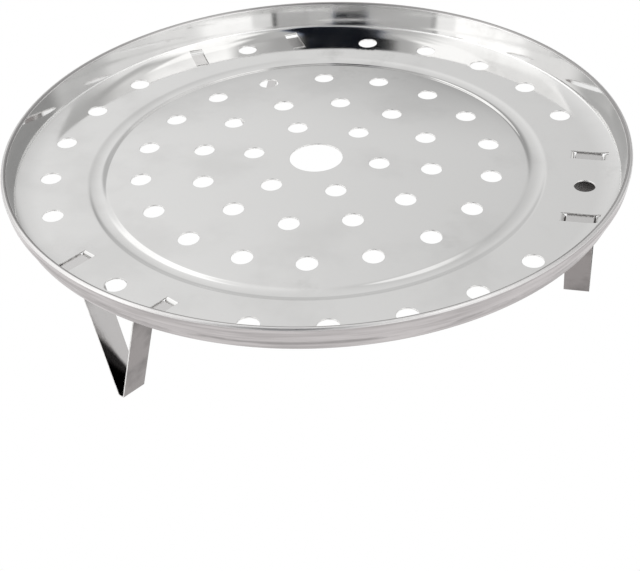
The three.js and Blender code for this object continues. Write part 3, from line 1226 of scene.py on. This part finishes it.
@dataclass
class ClipLeg:
    """Leg: one strip bent to a V, with flanges that lie in two straps of the tray."""

    place: LegPlace
    strip_width: float = 10.0
    strip: float = 0.6
    edge_round: float = 0.13
    foot_flat: float = 1.2
    foot_bend: float = 0.9
    knee_bend: float = 1.2
    knee_gap: float = 3.7
    flange_reach: float = 3.0
    flange_round: float = 2.0
    flange_middle: float = 47.12
    strap_width: float = 5.4
    strap_spacing: float = 44.0
    leg_radius: float = 103.198
    plan_slack: float = 0.02
    plan_height: float = 60.0
    plan_drop: float = 5.0
    inner_facing: float = 0.02
    edge_facing: float = 0.6
    bend_steps: int = 12
    corner_steps: int = 10
    edge_steps: int = 4

    @property
    def tip(self) -> float:
        """Half of the length over both flanges."""
        return (self.strap_spacing + self.strap_width) / 2 + self.flange_reach

    def path(self) -> np.ndarray:
        """Middle of the strip, from tip to tip."""
        knee = (self.strap_spacing - self.strap_width) / 2 - self.knee_gap
        sole = self.strip / 2
        lean = math.atan2(knee - self.foot_flat / 2, self.flange_middle - sole)
        ankle = self.foot_flat / 2 + self.foot_bend * math.tan((math.pi / 2 - lean) / 2)
        half = [(ankle, sole), (knee, self.flange_middle), (self.tip, self.flange_middle)]
        radii = [self.knee_bend, self.foot_bend, self.foot_bend, self.knee_bend]
        return rounded([(-y, z) for y, z in reversed(half)] + half, radii, self.bend_steps)

    def plan(self, tree: ShapeTree) -> Term:
        """Upright block over the strip's plan, with the corners of both flanges rounded."""
        frame_curve = tree.make(
            "GeometryNodeCurvePrimitiveQuadrilateral",
            {
                "Width": (self.strip_width + self.plan_slack) * MM,
                "Height": tree.length("Flange Span", 2 * self.tip),
            },
        )
        soft = tree.make(
            "GeometryNodeFilletCurve",
            {
                "Curve": frame_curve,
                "Count": self.corner_steps,
                "Radius": tree.length("Flange Round", self.flange_round),
            },
            mode="POLY",
        )
        face = tree.make("GeometryNodeFillCurve", {"Curve": soft}, mode="NGONS")
        up = tree.vector(0.0, 0.0, self.plan_height * MM)
        raised = tree.make(
            "GeometryNodeExtrudeMesh", {"Mesh": face, "Offset": up, "Offset Scale": 1.0, "Individual": False}
        )
        bottom = tree.make("GeometryNodeFlipFaces", {"Mesh": face})
        both = tree.make("GeometryNodeJoinGeometry", {"Geometry": [raised, bottom]})
        block = tree.make("GeometryNodeMergeByDistance", {"Geometry": both, "Distance": MERGE})
        down = (0.0, 0.0, -self.plan_drop * MM)
        return tree.make("GeometryNodeTransform", {"Geometry": block, "Translation": down})

    def tree(self, finish: bpy.types.Material, edge: bpy.types.Material) -> ShapeTree:
        """Tree that sweeps the strip along its path and sets it in its place.

        Args:
            finish: Material of the strip's faces.
            edge: Material of its slit edges.

        Returns:
            The tree.
        """
        tree = ShapeTree(f"clip {self.place.name}")
        section = tree.make(
            "GeometryNodeCurvePrimitiveQuadrilateral",
            {
                "Width": tree.length("Strip Width", self.strip_width),
                "Height": tree.length("Strip Thickness", self.strip),
            },
        )
        section = tree.make(
            "GeometryNodeFilletCurve",
            {
                "Curve": section,
                "Count": self.edge_steps,
                "Radius": tree.length("Edge Round", self.edge_round),
            },
            mode="POLY",
        )
        curve = tree.make("GeometryNodeMeshToCurve", {"Mesh": tree.geometry})
        swept = tree.make(
            "GeometryNodeCurveToMesh", {"Curve": curve, "Profile Curve": section, "Fill Caps": True}
        )
        cut = tree.make(
            "GeometryNodeMeshBoolean",
            {1: [swept, self.plan(tree)]},
            operation="INTERSECT",
            solver="MANIFOLD",
        )
        spot = tree.make("GeometryNodeInputPosition")
        kept = tree.make(
            "GeometryNodeStoreNamedAttribute",
            {"Geometry": cut, "Name": STRIP_PLACE, "Value": spot},
            data_type="FLOAT_VECTOR",
        )
        sideways, _, upwards = tree.parts(tree.make("GeometryNodeInputNormal"))
        inner = tree.vector(upwards > self.inner_facing, 0.0, 0.0)
        kept = tree.make(
            "GeometryNodeStoreNamedAttribute",
            {"Geometry": kept, "Name": STRIP_SIDE, "Value": inner},
            data_type="FLOAT_VECTOR",
            domain="FACE",
        )
        real = tree.make("GeometryNodeRealizeInstances", {"Geometry": kept})
        finishes = (("Strip", finish, True), ("Edge", edge, abs(sideways) > self.edge_facing))
        dressed = tree.dress(real, finishes)
        angle = tree.number("Angle", math.radians(self.place.value))
        shift = tree.polar(tree.length("Leg Radius", self.leg_radius), angle, 0.0)
        turn = tree.vector(0.0, 0.0, angle)
        tree.end(
            tree.make("GeometryNodeTransform", {"Geometry": dressed, "Translation": shift, "Rotation": turn})
        )
        return tree

    def build(self, finish: bpy.types.Material, edge: bpy.types.Material) -> bpy.types.Object:
        """Makes the leg in the place of its node.

        Args:
            finish: Material of the strip's faces.
            edge: Material of its slit edges.

        Returns:
            The object.
        """
        name = f"{self.place.name}_strip"
        path = np.insert(self.path() * MM, 0, 0.0, axis=1)
        leg = placed(name, line_mesh(name, [(path, False)], "chain"))
        mesh = self.tree(finish, edge).run(leg)
        dress_mesh(leg, mesh, CornerTable.of(mesh).soft_normals(SOFT_EDGE))
        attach(leg, self.place.name)
        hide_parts(self.place.name)
        return leg


@dataclass(frozen=True)
class PhotoCamera:
    """Camera at the photograph's place and angle."""

    place: tuple[float, float, float] = (119.277, -469.858, 344.185)
    bearing: float = 14.36
    elevation: float = 36.2134
    roll: float = 2.8705
    lens: float = 81.8585

    def build(self) -> bpy.types.Object:
        """Makes the camera and gives it to the scene.

        Returns:
            The object.
        """
        bearing, rise, roll = (math.radians(a) for a in (self.bearing, self.elevation, self.roll))
        turn = Matrix.Rotation(bearing, 3, "Z")
        right = turn @ Vector((1.0, 0.0, 0.0))
        up = turn @ Vector((0.0, math.sin(rise), math.cos(rise)))
        ahead = turn @ Vector((0.0, math.cos(rise), -math.sin(rise)))
        level = math.cos(roll) * right - math.sin(roll) * up
        high = math.sin(roll) * right + math.cos(roll) * up
        data = bpy.data.cameras.new("photo_camera")
        data.sensor_width, data.lens = 36.0, self.lens
        data.clip_start, data.clip_end = 0.01, 50.0
        camera = placed("photo_camera", data)
        axes = Matrix((level, high, -ahead)).transposed().to_4x4()
        camera.matrix_world = Matrix.Translation(Vector(self.place) * MM) @ axes
        bpy.context.scene.camera = camera
        return camera


@dataclass(frozen=True)
class Panel:
    """Evenly lit part of the surround, in degrees right of straight ahead and above the ground."""

    left: float
    right: float
    low: float
    high: float
    level: float
    soft: float = 4.0

    def share(self, tree: Graph, turn: Term, rise: Term) -> Term:
        """Share of the panel in a direction.

        Args:
            tree: The tree.
            turn: Degrees right of straight ahead.
            rise: Degrees above the ground.

        Returns:
            1 in the panel and 0 outside it.
        """
        across = tree.band(turn, self.left, self.right, self.soft)
        return across * tree.band(rise, self.low, self.high, self.soft)


@dataclass(frozen=True)
class SoftStudio:
    """Pale floor and the soft light that the steel mirrors.

    Places are in metres to the right, away and up, as the camera sees them.
    """

    bearing: float = 14.36
    floor_radius: float = 6.0
    floor: PaleFloor = field(default_factory=PaleFloor)
    pale: Colour = (1.0, 1.0, 1.0)
    boxes: Colour = (1.0, 0.998, 0.993)
    gap_tint: Colour = (0.6, 0.78, 1.25)
    gap_depth: float = 0.985
    lamp_place: tuple[float, float, float] = (-0.3, 0.2, 2.2)
    lamp_size: float = 1.2
    lamp_power: float = 12.0
    wall_left: float = 0.95
    wall_right: float = 0.67
    panels: tuple[Panel, ...] = (
        Panel(-300.0, -129.0, -30.0, 78.0, 0.61, 6.0),
        Panel(-135.0, -60.0, 69.0, 100.0, 0.70, 5.0),
        Panel(160.0, 300.0, -30.0, 62.0, 0.55, 6.0),
        Panel(-62.0, 6.0, -30.0, 21.0, 0.59, 7.0),
        Panel(4.0, 74.0, -30.0, 24.0, 0.39, 6.0),
        Panel(36.0, 74.0, 24.0, 50.0, 0.62, 6.0),
        Panel(78.0, 116.0, 40.0, 58.0, 1.0, 8.0),
        Panel(68.0, 94.0, -30.0, 40.0, 0.70, 5.0),
        Panel(94.0, 118.0, -30.0, 40.0, 0.92, 5.0),
        Panel(-92.0, -66.0, -30.0, 24.0, 1.1, 8.0),
        Panel(-126.0, -91.0, -30.0, 57.0, 1.5, 4.0),
        Panel(-110.0, -80.0, 52.0, 63.0, 1.5, 4.0),
        Panel(-94.0, -41.0, 22.0, 50.0, 1.2, 4.0),
        Panel(-94.0, -41.0, 50.0, 68.0, 1.4, 4.0),
        Panel(-46.0, -24.0, 36.0, 60.0, 1.35, 4.0),
        Panel(116.0, 140.0, -30.0, 47.0, 1.02, 4.0),
        Panel(137.0, 161.0, -30.0, 47.0, 1.35, 4.0),
        Panel(99.0, 143.0, 47.0, 67.0, 1.6, 4.0),
        Panel(24.0, 60.0, 54.0, 74.0, 1.05, 5.0),
        Panel(46.0, 127.0, 64.0, 80.0, 1.6, 3.5),
        Panel(-36.0, -17.0, 15.0, 25.0, 0.55, 3.0),
        Panel(158.0, 165.8, -30.0, 13.5, 0.95, 1.0),
        Panel(166.0, 167.6, -30.0, 13.5, 0.12, 0.6),
        Panel(-129.6, -122.0, -30.0, 16.0, 1.2, 0.8),
        Panel(-132.0, -130.2, -30.0, 14.0, 0.48, 0.5),
        Panel(-18.0, 8.0, -30.0, 18.0, 0.66, 5.0),
        Panel(-152.0, -140.0, 43.0, 53.0, 0.03, 3.0),
        Panel(175.0, 182.0, 44.0, 62.0, 0.03, 3.0),
    )

    def gap(self, tree: Graph, x: Term, y: Term) -> Term:
        """Share of the dark gap between the boxes, behind the camera.

        Args:
            tree: The tree.
            x: Part of the direction to the right.
            y: Part away from the camera.

        Returns:
            The share.
        """
        ahead = 0 - y
        wide = 0.10 + 0.07 * tree.smooth(ahead, 0.0, 0.12) + 0.03 * tree.smooth(ahead, 0.3, 0.55)
        low = tree.smooth(ahead, 0.66, 0.78)
        across = abs(x + 0.06 + ahead * 0.2 + low * 0.022) / (wide - low * 0.085)
        return tree.smooth(across, 1.12, 0.9) * tree.smooth(ahead, -0.04, 0.01)

    def surround(self) -> None:
        """Makes the world: a white studio with soft boxes at both sides and a dark gap behind the camera."""
        world = bpy.data.worlds.new("soft_studio")
        bpy.context.scene.world = world
        world.use_nodes = True
        tree = Graph(world.node_tree)
        ray = tree.make("ShaderNodeTexCoord", output="Generated")
        sockets = {"Vector": ray, "Angle": -math.radians(self.bearing)}
        turned = tree.make("ShaderNodeVectorRotate", sockets, rotation_type="Z_AXIS")
        x, y, z = tree.parts(turned)
        turn = tree.maths("ARCTAN2", x, y) * math.degrees(1.0)
        rise = tree.maths("ARCSINE", z) * math.degrees(1.0)
        level = tree.smooth(turn, -35.0, 35.0, self.wall_left, self.wall_right)
        for panel in self.panels:
            level = level + (panel.level - level) * panel.share(tree, turn, rise)
        gap = self.gap(tree, x, y)
        tint = tree.mixed(gap, self.boxes, self.gap_tint)
        level = level * (1 - gap * self.gap_depth)
        studio = tree.make("ShaderNodeBackground", {"Color": tint, "Strength": level})
        plain = tree.make("ShaderNodeBackground", {"Color": (*self.pale, 1.0), "Strength": 1.0})
        seen = tree.make("ShaderNodeLightPath", output="Is Camera Ray")
        both = tree.make("ShaderNodeMixShader", {0: seen, 1: studio, 2: plain})
        tree.node("ShaderNodeOutputWorld", None, {"Surface": both})

    def lay_floor(self) -> bpy.types.Object:
        """Makes the floor.

        Returns:
            The object.
        """
        corners = arc((0.0, 0.0), self.floor_radius, 0.0, 2 * math.pi, 64)[:-1]
        mesh = bpy.data.meshes.new("studio_floor")
        mesh.from_pydata([(x, y, 0.0) for x, y in corners], [], [range(len(corners))])
        mesh.materials.append(self.floor.material())
        floor = placed("studio_floor", mesh)
        # The camera looks through the table at the same white, so a leg drawn out below it stays in view.
        floor.visible_camera = False
        return floor

    def hang_lamp(self) -> bpy.types.Object:
        """Adds the soft light above the tray, which looks at it.

        Returns:
            The object.
        """
        data = bpy.data.lights.new("top_softbox", "AREA")
        data.shape, data.size, data.energy = "DISK", self.lamp_size, self.lamp_power
        lamp = placed("top_softbox", data)
        spot = Matrix.Rotation(math.radians(self.bearing), 3, "Z") @ Vector(self.lamp_place)
        lamp.matrix_world = Matrix.Translation(spot) @ spot.to_track_quat("Z", "Y").to_matrix().to_4x4()
        lamp.visible_camera = lamp.visible_glossy = False
        return lamp

    def build(self) -> None:
        """Makes the floor, the surround and the lamp."""
        self.surround()
        self.lay_floor()
        self.hang_lamp()
        view = bpy.context.scene.view_settings
        view.view_transform, view.look = "Standard", "None"


def main() -> None:
    """Builds the rack and its studio."""
    logging.basicConfig(level=logging.INFO, format="%(name)s: %(message)s")
    PhotoCamera().build()
    SoftStudio().build()
    PressedTray().build()
    finish, edge = RolledStrip().material(), ShearedEdge(name="slit_edge").material()
    for place in LegPlace:
        ClipLeg(place).build(finish, edge)


if __name__ == "__main__":
    main()
